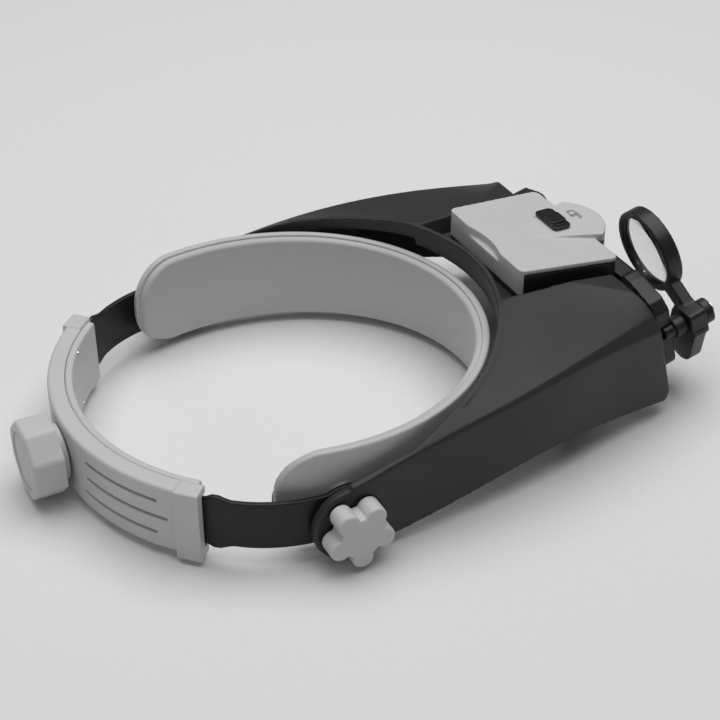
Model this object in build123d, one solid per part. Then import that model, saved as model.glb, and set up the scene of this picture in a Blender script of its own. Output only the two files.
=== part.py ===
"""Head visor magnifier: a hinged visor with lenses, a lamp unit and a loupe on an adjustable headband.

Millimetres. +Z is up, the wearer faces -Y, the wearer's right is -X.
The origin is the centre of the head opening.
"""
from build123d import *
import math
import os

# ---- driving dimensions -------------------------------------------------
# rear adjuster: arcs about the origin's vertical axis
COVER_R_IN, COVER_R_OUT = 89.0, 92.4
HOUSING_R_IN, HOUSING_R_OUT = 92.5, 100.0
CHANNEL_R_OUT = 96.5
HOUSING_HALF_ANGLE = 46.5
HOUSING_HALF_H = 15.5
CHANNEL_HALF_H = 12.4
COLLAR_ANGLE = 5.5
COLLAR_RISE = 1.3
GROOVES = ((8.0, 13.5, 36.0), (0.0, 13.5, 38.5), (-8.0, 12.0, 35.5))
GROOVE_R, GROOVE_DEPTH = 0.75, 2.0
SCREW_PLACES = [(sx * 46.0, sz * 13.4) for sx in (-1, 1) for sz in (-1, 1)]
SCREW_R, SCREW_HEAD_R = 0.9, 1.2

# toothed racks and the pinion between them
RACK_R_IN, RACK_R_OUT = 93.35, 95.55
RACK_MID_R = (RACK_R_IN + RACK_R_OUT) / 2
PINION_TEETH = 12
MODULE = 1.0
PITCH_R = MODULE * PINION_TEETH / 2
TOOTH_PITCH = math.pi * MODULE
ADDENDUM, DEDENDUM = 0.85, 1.25
RACK_BACK = 11.2
RACK_ROOT_ANGLE, RACK_TIP_ANGLE = 37.8, -19.5
RACK_TEETH = range(-10, 15)
KNOB_SHAFT_R = 2.5
SIZE_KNOB_R = 17.7

# straps
STRAP_X, STRAP_T = 89.25, 2.5
STRAP_HALF_H = 11.0
STRAP_ARC_R = 61.6
STRAP_INSET_ANGLE = 38.0
RIVET_OFFSET = 9.5

# visor pivot
PIVOT_Y, PIVOT_Z = 13.0, -2.5
STUD_R = 2.5
BORE_CLEARANCE = 0.06
ARM_X_IN, ARM_X_OUT = 91.6, 95.4
ARM_FACE = 92.2
BOSS_R = 16.6
RING_R, RING_W, RING_RISE = 15.8, 1.3, 0.5

# front band
BAND_A, BAND_B_TOP, BAND_B_BOTTOM = 87.5, 90.5, 97.0
BAND_T = 3.4
BAND_Z_LOW, BAND_Z_HIGH = -16.5, 28.0
BAND_END_Y, BAND_END_R = 38.5, 20.0
PAD_T, PAD_EDGE = 3.2, 1.2
RIVET_R = 1.5

# visor
WALL = 2.5
RIM_A, RIM_B, RIM_Y = 95.5, 105.5, 12.2
RIM_LIP = 2.5
FRONT_LEAN = 15.0
FRONT_Y, FRONT_Z = -151.2, 12.0
# station y: ridge x, z; crease x, z; bottom edge x, z; width of the bevel on each side of the crease
STATIONS = {
    36.0: ((84.0, 14.5), (95.4, 14.5), (95.4, -18.0), 0.5),
    5.0: ((84.0, 20.0), (95.4, 16.5), (95.4, -16.0), 0.6),
    -30.0: ((80.0, 31.0), (93.5, 23.8), (93.8, -11.1), 0.8),
    -60.0: ((62.0, 36.5), (90.9, 28.3), (91.2, -6.2), 1.3),
    -90.0: ((38.0, 40.3), (85.7, 31.2), (86.2, -4.6), 2.0),
    -120.0: ((39.0, 41.0), (78.6, 32.1), (79.4, -7.3), 3.2),
    -170.0: ((41.6, 40.6), (63.6, 31.2), (66.5, -17.2), 7.0),
}
TOE_Y, TOE_Z, TOE_R, TOE_SLOPE = -158.3, -14.9, 5.0, 11.0
BROW_Y, BROW_Z, BROW_R = -143.5, 40.9, 9.0
DECK_Z = 32.5
POCKET_REAR_Y, POCKET_FRONT_Y, POCKET_TOP_Z = -80.0, -170.0, 42.0
POCKET_FLOOR_W = (33.4, 39.0)
POCKET_TOP_W = (36.5, 41.4)
RIM_SKIRT = 6.0

# lens frame and lenses, in the plane of the leaning front
FRAME_GAP, FRAME_DEPTH = 4.0, 7.6
FRAME_CORNERS = [
    (60.0, -20.0), (61.0, 13.5), (57.0, 18.2), (44.0, 22.6),
    (38.5, 23.0), (36.8, 21.8), (19.5, 21.8), (19.5, 19.6),
]
WINDOW_HALF_W, WINDOW_LOW, WINDOW_HIGH = 48.0, -15.5, 16.5
LENS_T = 3.4
FLIP_Y, FLIP_Z, FLIP_PIN_R = -137.0, 24.0, 1.5
FLIP_HALF_W, FLIP_LENGTH = 45.0, 33.0
EAR_TOP_Z = 37.4

# lamp unit
LAMP_REAR, LAMP_FRONT = -100.2, -149.0
LAMP_W_REAR, LAMP_W_FRONT = 31.6, 34.6
LAMP_Z_REAR, LAMP_Z_FRONT = 47.6, 43.4
LAMP_WALL, LID_T = 2.0, 1.6
LID_DROP, LID_GAP = 2.4, 0.3
LAMP_CORNER_R = 3.0
LID_SKIRT_Z, LID_SEAM_Z = 34.8, 41.0
SCOOP_R, SCOOP_DEPTH, SCOOP_Z = 40.0, 2.4, 43.2
TRAY_FLOOR = 1.3
NOSE_W, NOSE_SHOULDER_Y, NOSE_TIP_Y = 17.0, -152.0, -160.5
NOSE_FLOOR_Z, NOSE_TOP_Z = 34.6, 45.6
HUMP_REAR_Y, HUMP_REAR_W = -125.0, 6.5
CELL_R, CELL_L = 5.1, 44.5
CELL_Z = DECK_Z + TRAY_FLOOR + 0.2 + CELL_R
CELL_ROWS = (-107.6, -118.2)
BOARD_Z, BOARD_T = 36.6, 1.4
LED_Z, LED_R = 39.4, 1.4
REFLECTOR_R, WINDOW_R = 3.5, 4.0
LAMP_SCREWS = [(sx * 26.3, y) for sx in (-1, 1) for y in (-105.5, -143.5)]
LAMP_SCREW_R = 1.25
SWITCH_X, SWITCH_Y, SWITCH_Z = 3.0, -138.0, 45.95

# loupe, in the plane of the leaning front
POST_U, POST_V = -60.5, 2.0
POST_R = 4.6
HUB_NEAR, HUB_FAR = 17.6, 26.2
LOUPE_U, LOUPE_V = -31.0, 23.3
LOUPE_R_OUT, LOUPE_R_LENS = 19.6, 17.4
LOUPE_NEAR, LOUPE_DEPTH = 20.4, 7.0
PADDLE_TURN, PADDLE_REACH, PADDLE_W = -67.0, 27.0, 17.5

# side knobs
KNOB_X_IN, KNOB_X_OUT = 96.2, 105.6
KNOB_LOBES, KNOB_LOBE_R, KNOB_LOBE_AT, KNOB_CORE_R = 5, 4.6, 9.9, 9.4


def front_plane(offset=0.0):
    """Plane of the visor's leaning front; its normal points forward and a little up."""
    lean = math.radians(FRONT_LEAN)
    normal = Vector(0, -math.cos(lean), math.sin(lean))
    return Plane(origin=Vector(0, FRONT_Y, FRONT_Z) + normal * offset, x_dir=(1, 0, 0), z_dir=normal)


def on_front(sketch, start, depth):
    """A sketch raised off the front plane, from start for depth."""
    return extrude(front_plane(start) * sketch, depth)


def slab(x0, x1, y0, y1, z0, z1):
    """A box between two corners."""
    return Pos((x0 + x1) / 2, (y0 + y1) / 2, (z0 + z1) / 2) * Box(abs(x1 - x0), abs(y1 - y0), abs(z1 - z0))


def rod_x(radius, x0, x1, y, z):
    """A round bar along X."""
    return Pos((x0 + x1) / 2, y, z) * Rot(0, 90, 0) * Cylinder(radius, abs(x1 - x0))


def rod_y(radius, y0, y1, x, z):
    """A round bar along Y."""
    return Pos(x, (y0 + y1) / 2, z) * Rot(90, 0, 0) * Cylinder(radius, abs(y1 - y0))


def arc_block(r_in, r_out, low, high, angle0, angle1):
    """A block bent about the Z axis; angles are from +Y towards the wearer's left (+X)."""
    def at(radius, angle):
        return (radius * math.sin(math.radians(angle)), radius * math.cos(math.radians(angle)))

    middle = (angle0 + angle1) / 2
    outline = [
        ThreePointArc(at(r_out, angle0), at(r_out, middle), at(r_out, angle1)),
        Line(at(r_out, angle1), at(r_in, angle1)),
        ThreePointArc(at(r_in, angle1), at(r_in, middle), at(r_in, angle0)),
        Line(at(r_in, angle0), at(r_out, angle0)),
    ]
    return extrude(Plane.XY.offset(low) * make_face(outline), high - low)


def side(part, sign):
    """The part itself on the wearer's left, or its mirror image on the right."""
    return part if sign > 0 else mirror(part, Plane.YZ)


def ellipse_wall(a, b, centre_y, low, high):
    """An upright elliptical cylinder."""
    return extrude(Pos(0, centre_y, low) * Ellipse(a, b), high - low)


# ---- rear adjuster --------------------------------------------------------
def rear_housing():
    """Outer shell with a channel for the racks, three grip grooves on each side and end collars."""
    a = HOUSING_HALF_ANGLE
    body = arc_block(HOUSING_R_IN, HOUSING_R_OUT, -HOUSING_HALF_H, HOUSING_HALF_H, -a, a)
    arcs = body.edges().filter_by(GeomType.CIRCLE)
    body = fillet(arcs.filter_by(lambda e: e.radius > HOUSING_R_OUT - 0.1), 1.6)
    for sign in (-1, 1):
        collar = arc_block(
            HOUSING_R_IN, HOUSING_R_OUT + COLLAR_RISE,
            -HOUSING_HALF_H - COLLAR_RISE, HOUSING_HALF_H + COLLAR_RISE / 2,
            sign * (a - COLLAR_ANGLE), sign * (a + 0.6),
        )
        body += chamfer(collar.edges().filter_by(GeomType.CIRCLE).group_by(Axis.Z)[-1], 0.6)
    body -= arc_block(HOUSING_R_IN - 1, CHANNEL_R_OUT, -CHANNEL_HALF_H, CHANNEL_HALF_H, -a - 4, a + 4)
    for height, start, end in GROOVES:
        for sign in (-1, 1):
            body -= groove(height, sign * start, sign * end)
    body -= rod_y(KNOB_SHAFT_R + BORE_CLEARANCE, 85, 112, 0, 0)
    for x, z in SCREW_PLACES:
        body -= rod_y(SCREW_R, 70, math.sqrt(HOUSING_R_OUT**2 - x**2) - 2.5, x, z)
    return body


def groove(height, start, end):
    """Shallow grip groove in the housing's outer face, with round ends."""
    floor_r = HOUSING_R_OUT - GROOVE_DEPTH
    cut = arc_block(floor_r, HOUSING_R_OUT + 2, height - GROOVE_R, height + GROOVE_R, start, end)
    for angle in (start, end):
        cut += Rot(0, 0, -angle) * rod_y(GROOVE_R, floor_r, HOUSING_R_OUT + 2, 0, height)
    return cut


def rear_cover():
    """Inner plate of the adjuster, towards the head."""
    a = HOUSING_HALF_ANGLE - 1.0
    plate = arc_block(COVER_R_IN, COVER_R_OUT, -HOUSING_HALF_H, HOUSING_HALF_H, -a, a)
    arcs = plate.edges().filter_by(GeomType.CIRCLE)
    plate = fillet(arcs.filter_by(lambda e: e.radius < COVER_R_IN + 0.1), 1.2)
    plate -= rod_y(KNOB_SHAFT_R + BORE_CLEARANCE, 85, 96, 0, 0)
    plate -= rod_y(4.2, 80, 91.0, 0, 0)
    for x, z in SCREW_PLACES:
        plate -= rod_y(SCREW_R, 60, 100, x, z)
        plate -= rod_y(SCREW_HEAD_R + 0.05, 60, screw_seat(x), x, z)
    return plate


def screw_seat(x):
    """Depth of the counterbore for a cover screw at x."""
    return math.sqrt(COVER_R_IN**2 - x**2) + 1.0


def cover_screws():
    """Four countersunk screws that hold the cover to the housing."""
    screws = []
    for x, z in SCREW_PLACES:
        seat = screw_seat(x)
        head = rod_y(SCREW_HEAD_R, seat - 1.1, seat, x, z)
        slot = slab(x - 1.0, x + 1.0, seat - 1.2, seat - 0.6, z - 0.25, z + 0.25)
        screws.append(head - slot + rod_y(SCREW_R, seat - 0.1, seat + 6.5, x, z))
    return Compound(children=screws)


def tooth_profile(base_half, tip_half, base, tip):
    """A straight-sided tooth pointing along +Y of its sketch."""
    corners = [(-base_half, base), (-tip_half, tip), (tip_half, tip), (base_half, base)]
    return make_face(Polyline(*corners, close=True))


def pinion():
    """Twelve-tooth pinion on its shaft; the shaft runs from the cover to the knob."""
    root = PITCH_R - DEDENDUM
    depth = RACK_R_OUT - RACK_R_IN - 0.3
    wheel = Circle(root)
    for i in range(PINION_TEETH):
        tooth = tooth_profile(0.95, 0.30, root - 0.4, PITCH_R + ADDENDUM)
        wheel += Rot(0, 0, i * 360 / PINION_TEETH) * tooth
    gear = extrude(Plane.XZ.offset(-(RACK_R_IN + 0.15)) * wheel, -depth)
    shaft = rod_y(KNOB_SHAFT_R, 89.4, 114.0, 0, 0)
    shaft -= rod_y(KNOB_SHAFT_R + 1, 90.0, 90.9, 0, 0) - rod_y(1.9, 89.9, 91.0, 0, 0)
    flat = slab(-4, 4, 104.5, 115, 1.9, 4)
    return gear + (shaft - flat)


def shaft_clip():
    """Spring clip in the shaft's groove, inside the cover's recess."""
    ring = rod_y(3.6, 90.05, 90.85, 0, 0) - rod_y(1.95, 89, 92, 0, 0)
    return ring - slab(-1.2, 1.2, 89, 92, -5, 0)


def rack(sign):
    """Toothed strip at the end of a strap: the left one runs above the pinion, the right one below."""
    half_pitch_angle = math.degrees(TOOTH_PITCH / RACK_MID_R)
    root_z = PITCH_R + DEDENDUM
    strip = arc_block(RACK_R_IN, RACK_R_OUT, root_z, RACK_BACK, RACK_TIP_ANGLE, RACK_ROOT_ANGLE)
    tooth = tooth_profile(0.95, 0.30, root_z + 0.3, PITCH_R - ADDENDUM)
    block = extrude(Plane.XZ.offset(-RACK_R_IN) * tooth, -(RACK_R_OUT - RACK_R_IN))
    for i in RACK_TEETH:
        strip += Rot(0, 0, -(i + 0.5) * half_pitch_angle) * block
    strip += arc_block(RACK_R_IN, RACK_R_OUT, -RACK_BACK, RACK_BACK, RACK_ROOT_ANGLE - 4.5, RACK_ROOT_ANGLE)
    return strip if sign > 0 else Rot(0, 180, 0) * strip


def rear_knob():
    """Rounded eight-sided size knob with a dished rear face and a round neck."""
    grip = extrude(Plane.XZ.offset(-103.2) * RegularPolygon(SIZE_KNOB_R, 8, rotation=22.5), -14.0)
    grip = fillet(grip.edges().filter_by(Axis.Y), 3.6)
    grip = fillet(grip.faces().sort_by(Axis.Y)[-1].edges(), 1.8)
    grip -= rod_y(12.6, 115.6, 118, 0, 0)
    neck = rod_y(12.0, 100.4, 103.4, 0, 0)
    bore = rod_y(KNOB_SHAFT_R + 0.02, 100, 114.1, 0, 0) - slab(-4, 4, 104.5, 115, 1.92, 4)
    return grip + neck - bore


def rear_knob_cap():
    """Low domed disc in the knob's dish."""
    disc = rod_y(12.4, 115.65, 116.5, 0, 0)
    dome_r = 60.0
    ball = Pos(0, 117.3 - dome_r, 0) * Sphere(dome_r)
    return disc + (rod_y(11.6, 116.4, 118, 0, 0) & ball)


# ---- headband ---------------------------------------------------------------
def ellipse_loft(inset, low, high):
    """Band body between its lower and upper plan ellipses, moved in by inset."""
    span = BAND_Z_HIGH - BAND_Z_LOW
    slope = (BAND_B_TOP - BAND_B_BOTTOM) / span
    b_low = BAND_B_BOTTOM + slope * (low - BAND_Z_LOW) - inset
    b_high = BAND_B_BOTTOM + slope * (high - BAND_Z_LOW) - inset
    a = BAND_A - inset
    return loft([Pos(0, 0, low) * Ellipse(a, b_low), Pos(0, 0, high) * Ellipse(a, b_high)], ruled=True)


def band_side_profile(low, high, end_y, end_r):
    """Side view of the band as a block through X; its rear end is rounded above and below."""
    block = slab(-120, 120, -130, end_y - end_r, low, high)
    for z in (low + end_r, high - end_r):
        block += rod_x(end_r, -120, 120, end_y - end_r, z)
    return block + slab(-120, 120, end_y - 2 * end_r, end_y, low + end_r, high - end_r)


def front_band():
    """Stiff moulded arc round the forehead, with a flat boss and three holes at each pivot."""
    outer = ellipse_loft(0, BAND_Z_LOW, BAND_Z_HIGH)
    inner = ellipse_loft(BAND_T, BAND_Z_LOW - 1, BAND_Z_HIGH + 1)
    body = (outer - inner) & band_side_profile(BAND_Z_LOW, BAND_Z_HIGH, BAND_END_Y, BAND_END_R)
    for sign in (-1, 1):
        ends = (PIVOT_Z - RIVET_OFFSET, PIVOT_Z + RIVET_OFFSET)
        body += slab(sign * 84.0, sign * 87.95, PIVOT_Y - 4.5, PIVOT_Y + 4.5, *ends)
        for z in ends:
            body += rod_x(4.5, sign * 84.0, sign * 87.95, PIVOT_Y, z)
            body -= rod_x(3.1, sign * 70, sign * 83.4, PIVOT_Y, z)
            body -= rod_x(RIVET_R, sign * 70, sign * 95, PIVOT_Y, z)
        body -= rod_x(5.8, sign * 70, sign * 83.4, PIVOT_Y, PIVOT_Z)
        body -= rod_x(STUD_R, sign * 70, sign * 95, PIVOT_Y, PIVOT_Z)
    return body


def forehead_pad():
    """Plain closed body of the soft lining of the band; it covers the stud and rivet heads."""
    outer = ellipse_loft(BAND_T + 0.05, BAND_Z_LOW + PAD_EDGE, BAND_Z_HIGH - PAD_EDGE)
    inner = ellipse_loft(BAND_T + PAD_T, BAND_Z_LOW, BAND_Z_HIGH)
    body = outer - inner
    low, high = BAND_Z_LOW + PAD_EDGE, BAND_Z_HIGH - PAD_EDGE
    body &= band_side_profile(low, high, BAND_END_Y - PAD_EDGE, BAND_END_R - PAD_EDGE)
    for sign in (-1, 1):
        body -= rod_x(5.8, sign * 81.2, sign * 86, PIVOT_Y, PIVOT_Z)
        for z in (PIVOT_Z - RIVET_OFFSET, PIVOT_Z + RIVET_OFFSET):
            body -= rod_x(3.1, sign * 81.9, sign * 86, PIVOT_Y, z)
    return body


def strap(sign):
    """Flexible side strap from the pivot to inside the adjuster."""
    centre_x = STRAP_X - STRAP_ARC_R
    tangent = math.atan2(centre_x, 18.0)
    half = STRAP_T / 2

    def ring(radius_mid, cx, cy, start, end):
        middle = (start + end) / 2
        corner = [(cx + (radius_mid + s * half) * math.sin(t), cy + (radius_mid + s * half) * math.cos(t))
                  for s, t in ((1, start), (1, middle), (1, end), (-1, end), (-1, middle), (-1, start))]
        return make_face([
            ThreePointArc(*corner[:3]), Line(corner[2], corner[3]),
            ThreePointArc(*corner[3:]), Line(corner[5], corner[0]),
        ])

    plan = ring(STRAP_ARC_R, centre_x, 18.0, tangent, math.pi / 2)
    plan += ring(RACK_MID_R, 0, 0, math.radians(STRAP_INSET_ANGLE), tangent)
    plan += make_face(Polyline((STRAP_X - half, 18.0), (STRAP_X + half, 18.0), (STRAP_X + half, -6.0),
                               (STRAP_X - half, -6.0), close=True))
    body = extrude(Plane.XY.offset(-30) * plan, 60)
    outline = slab(0, 120, PIVOT_Y, 110, -STRAP_HALF_H, STRAP_HALF_H)
    outline += rod_x(15.5, 0, 120, PIVOT_Y, PIVOT_Z)
    outline += slab(0, 120, 58.0, 63.6, -12.6, 12.6)
    body = body & outline
    body -= rod_x(STUD_R, 80, 95, PIVOT_Y, PIVOT_Z)
    for z in (PIVOT_Z - RIVET_OFFSET, PIVOT_Z + RIVET_OFFSET):
        body -= rod_x(RIVET_R, 80, 95, PIVOT_Y, z)
    return side(body, sign)


def band_rivets():
    """Two rivets on each side that hold the strap to the band."""
    rivets = []
    outside = STRAP_X + STRAP_T / 2
    for sign in (-1, 1):
        for z in (PIVOT_Z - RIVET_OFFSET, PIVOT_Z + RIVET_OFFSET):
            shaft = rod_x(RIVET_R, sign * 83.2, sign * (outside + 0.1), PIVOT_Y, z)
            inner = rod_x(2.8, sign * 82.2, sign * 83.4, PIVOT_Y, z)
            outer = rod_x(2.2, sign * outside, sign * (outside + 0.6), PIVOT_Y, z)
            rivets.append(shaft + inner + outer)
    return Compound(children=rivets)


def pivot_stud(sign):
    """Screw that the visor turns on; its thread ends in the clamp knob."""
    head = rod_x(5.5, 81.5, 83.4, PIVOT_Y, PIVOT_Z)
    head -= rod_x(2.0, 81.0, 82.4, PIVOT_Y, PIVOT_Z)
    body = head + rod_x(STUD_R, 83.3, 104.0, PIVOT_Y, PIVOT_Z)
    return side(body, sign)


def pivot_washer(sign):
    """Friction washer between strap and visor arm."""
    body = rod_x(7.0, STRAP_X + STRAP_T / 2, STRAP_X + STRAP_T / 2 + 0.75, PIVOT_Y, PIVOT_Z)
    return side(body - rod_x(STUD_R, 80, 100, PIVOT_Y, PIVOT_Z), sign)


def side_knob(sign):
    """Five-lobed clamp knob."""
    depth = KNOB_X_OUT - KNOB_X_IN
    outline = Circle(KNOB_CORE_R)
    for i in range(KNOB_LOBES):
        outline += Rot(0, 0, i * 360 / KNOB_LOBES) * Pos(KNOB_LOBE_AT, 0) * Circle(KNOB_LOBE_R)
    body = extrude(outline, depth)
    body = fillet(body.edges().group_by(Axis.Z)[-1], 1.2)
    body = Pos(KNOB_X_IN, PIVOT_Y, PIVOT_Z) * Rot(0, 90, 0) * body
    body -= rod_x(4.2, KNOB_X_IN - 1, KNOB_X_IN + 8.4, PIVOT_Y, PIVOT_Z)
    return side(body, sign)


def knob_insert(sign):
    """Threaded brass insert pressed into the clamp knob."""
    body = rod_x(4.2, KNOB_X_IN, KNOB_X_IN + 8.3, PIVOT_Y, PIVOT_Z)
    return side(body - rod_x(STUD_R + BORE_CLEARANCE, 90, 110, PIVOT_Y, PIVOT_Z), sign)


# ---- visor --------------------------------------------------------------------
def between(start, end, distance):
    """The point at a distance from start, towards end."""
    share = distance / math.dist(start, end)
    return tuple(a + (b - a) * share for a, b in zip(start, end))


def shell_section(y, inset, drop):
    """Closed outline of the visor across its width at station y, moved in by inset."""
    (rx, rz), (cx, cz), (bx, bz), bevel = STATIONS[y]
    ridge = (rx - 0.3 * inset, rz - inset)
    crease = (cx - inset, cz - 0.8 * inset)
    bottom = (bx - inset, bz - drop)
    half = [ridge, between(crease, ridge, bevel), between(crease, bottom, bevel), bottom]
    points = [(-x, z) for x, z in reversed(half)] + half
    across = Plane(origin=(0, y, 0), x_dir=(1, 0, 0), z_dir=(0, -1, 0))
    return across * make_face(Polyline(*points, close=True))


def visor_body(inset, drop):
    """Solid through all visor stations."""
    return loft([shell_section(y, inset, drop) for y in STATIONS])


def side_rounding(corner_y, corner_z, first, second, radius):
    """What is taken off a corner seen from the side; first and second point along its two edges."""
    corner = Vector(corner_y, corner_z)
    first, second = Vector(*first).normalized(), Vector(*second).normalized()
    half = math.radians(first.get_angle(second)) / 2
    middle = (first + second).normalized()
    reach = radius / math.tan(half)
    centre = corner + middle * (radius / math.sin(half))
    ends = [corner + edge * reach for edge in (first, second)]
    wedge = make_face(Polyline(ends[0], corner - middle * 5, ends[1], close=True))
    return extrude(Plane.YZ.offset(-120) * (wedge - Pos(centre.X, centre.Y) * Circle(radius)), 240)


def rim_block(drop):
    """Everything above the rim's sloping plane, lowered by drop."""
    rise = math.degrees(math.atan(21.9 / RIM_B))
    return Pos(0, RIM_Y, 18.8 - drop) * Rot(-rise, 0, 0) * Pos(0, 0, 60) * Box(260, 400, 120)


def pocket(grow):
    """Tapered well of the lamp unit, open to the front, grown sideways and downwards."""
    def plan(z, widths):
        rear, front = (w + grow for w in widths)
        outline = Polyline((-rear, POCKET_REAR_Y), (rear, POCKET_REAR_Y), (front, POCKET_FRONT_Y),
                           (-front, POCKET_FRONT_Y), close=True)
        return Plane.XY.offset(z) * make_face(outline)

    well = loft([plan(DECK_Z - grow, POCKET_FLOOR_W), plan(POCKET_TOP_Z, POCKET_TOP_W)], ruled=True)
    return well - ellipse_wall(RIM_A + RIM_LIP - grow, RIM_B + RIM_LIP - grow, RIM_Y, 0, 60)


def visor_shell():
    """Moulded visor: sloping panels, arms with pivot bosses, rim skirt, lamp well and flip-lens ears."""
    whole = visor_body(0, 0) & slab(-ARM_X_OUT, ARM_X_OUT, -300, 100, -90, 90)
    behind_front = on_front(Rectangle(300, 300), -400, 400)
    opening = ellipse_wall(RIM_A, RIM_B, RIM_Y, -70, 90) & slab(-ARM_FACE, ARM_FACE, -400, 400, -90, 90)
    body = whole - visor_body(WALL, 40) - opening
    for sign in (-1, 1):
        body += rod_x(BOSS_R, sign * ARM_X_IN, sign * ARM_X_OUT, PIVOT_Y, PIVOT_Z)
        ring = rod_x(RING_R, sign * ARM_X_OUT, sign * (ARM_X_OUT + RING_RISE), PIVOT_Y, PIVOT_Z)
        body += ring - rod_x(RING_R - RING_W, sign * 90, sign * 100, PIVOT_Y, PIVOT_Z)
    skirt = ellipse_wall(RIM_A + RIM_LIP, RIM_B + RIM_LIP, RIM_Y, 0, 60) - opening
    body += (skirt - rim_block(0)) & rim_block(RIM_SKIRT) & slab(-84, 84, -150, -38, -90, 90)
    body += pocket(WALL) & whole
    body -= pocket(0)
    lean, slope = math.tan(math.radians(FRONT_LEAN)), math.tan(math.radians(TOE_SLOPE))
    body = (body & behind_front) - side_rounding(TOE_Y, TOE_Z, (lean, 1), (1, slope), TOE_R)
    body -= side_rounding(BROW_Y, BROW_Z, (-lean, -1), (1, 0), BROW_R)
    body = body & (rod_x(BOSS_R, -120, 120, PIVOT_Y, PIVOT_Z) + slab(-120, 120, -400, PIVOT_Y, -90, 90))
    for sign in (-1, 1):
        body += flip_ear(sign)
        body -= rod_x(STUD_R + BORE_CLEARANCE, sign * 85, sign * 100, PIVOT_Y, PIVOT_Z)
    body -= rod_x(FLIP_PIN_R + BORE_CLEARANCE, -60, 60, FLIP_Y, FLIP_Z)
    for x, y in LAMP_SCREWS:
        body -= Pos(x, y, DECK_Z) * Cylinder(LAMP_SCREW_R, 12)
    return body


def flip_ear(sign):
    """Lug under the visor's top that carries a pin of the flip lens."""
    x0, x1 = sorted((sign * (FLIP_HALF_W + 2.6), sign * (FLIP_HALF_W + 6.0)))
    lug = slab(x0, x1, FLIP_Y - 4, FLIP_Y + 4, FLIP_Z, EAR_TOP_Z)
    return lug + rod_x(4.0, x0, x1, FLIP_Y, FLIP_Z)


def lens_frame():
    """Bezel in front of the shell that holds the main lens, with two tongues and two side brackets."""
    outline = make_face(Polyline(*FRAME_CORNERS, *[(-u, v) for u, v in reversed(FRAME_CORNERS)], close=True))
    body = on_front(outline, FRAME_GAP, FRAME_DEPTH)
    body = fillet(body.edges().filter_by(Axis(body.center(), front_plane().z_dir)).group_by(Axis.Z)[0], 6)
    body -= on_front(window_plan(0), FRAME_GAP - 1, FRAME_DEPTH + 2)
    body -= on_front(window_plan(2.5), FRAME_GAP + 1.5, LENS_T + 0.1)
    for sign in (-1, 1):
        x = sign * 26.3
        body += slab(x - 5, x + 5, -150.9, -139.0, DECK_Z - WALL - 3.2, DECK_Z - WALL - 0.05)
        body += side(on_front(Pos(58.0, -5) * Rectangle(4, 9), -7, FRAME_GAP + 7.2), sign)
        body += side(on_front(Pos(61.2, -5) * Rectangle(8.4, 9), -7, 4), sign)
    for x, y in LAMP_SCREWS:
        body -= Pos(x, y, DECK_Z) * Cylinder(LAMP_SCREW_R, 12)
    return body - on_front(Pos(POST_U, POST_V) * Circle(3.0), -1, 20)


def window_plan(grow):
    """Outline of the main lens opening, grown all round."""
    return Pos(0, (WINDOW_LOW + WINDOW_HIGH) / 2) * RectangleRounded(
        2 * (WINDOW_HALF_W + grow), WINDOW_HIGH - WINDOW_LOW + 2 * grow, 5)


def main_lens():
    """Fixed rectangular lens plate."""
    return on_front(window_plan(2.4), FRAME_GAP + 1.55, LENS_T)


def flip_plane():
    """Plane of the flip lens in use, through its hinge and parallel to the leaning front."""
    return Plane(origin=(0, FLIP_Y, FLIP_Z), x_dir=(1, 0, 0), z_dir=front_plane().z_dir)


def flip_plan(margin, radius):
    """Rounded outline of the flip lens, moved in by margin; the hinge side keeps 2 mm more."""
    hinge_side = 2.0 if margin else 0.0
    low, high = -FLIP_LENGTH + margin, -margin - hinge_side
    return Pos(0, (low + high) / 2) * RectangleRounded(2 * (FLIP_HALF_W - margin), high - low, radius)


def flip_lens_frame():
    """Swinging frame behind the main lens, with its two hinge pins."""
    plane = flip_plane()
    body = extrude(plane.offset(-2.2) * flip_plan(0, 4), 4.4)
    body -= extrude(plane.offset(-3) * flip_plan(4.5, 3), 6)
    body -= extrude(plane.offset(-1.2) * flip_plan(3.0, 4), 2.4)
    body += rod_x(2.4, -FLIP_HALF_W, FLIP_HALF_W, FLIP_Y, FLIP_Z)
    return body + rod_x(FLIP_PIN_R, -FLIP_HALF_W - 6.0, FLIP_HALF_W + 6.0, FLIP_Y, FLIP_Z)


def flip_lens():
    """Second lens plate, in the flip frame."""
    return extrude(flip_plane().offset(-1.15) * flip_plan(3.05, 3.9), 2.3)


# ---- lamp unit -------------------------------------------------------------------
def lamp_wedge(inset, low, high_rear, high_front):
    """Tapered block on the lamp unit's plan, moved in by inset, with a sloping top."""
    def section(y, half_w, high):
        outline = Polyline((-half_w, low), (half_w, low), (half_w, high), (-half_w, high), close=True)
        return Plane(origin=(0, y, 0), x_dir=(1, 0, 0), z_dir=(0, -1, 0)) * make_face(outline)

    return loft([
        section(LAMP_REAR - inset, LAMP_W_REAR - inset, high_rear),
        section(LAMP_FRONT + inset, LAMP_W_FRONT - inset, high_front),
    ], ruled=True)


def nose_block(inset, low, high, rear_y):
    """Block on the plan of the lamp's rounded nose, moved in by inset."""
    half, shoulder, tip = NOSE_W - inset, NOSE_SHOULDER_Y, NOSE_TIP_Y + inset
    outline = [
        Line((half, shoulder), (half, rear_y)), Line((half, rear_y), (-half, rear_y)),
        Line((-half, rear_y), (-half, shoulder)),
        ThreePointArc((-half, shoulder), (0, tip), (half, shoulder)),
    ]
    return extrude(Plane.XY.offset(low) * make_face(outline), high - low)


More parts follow.
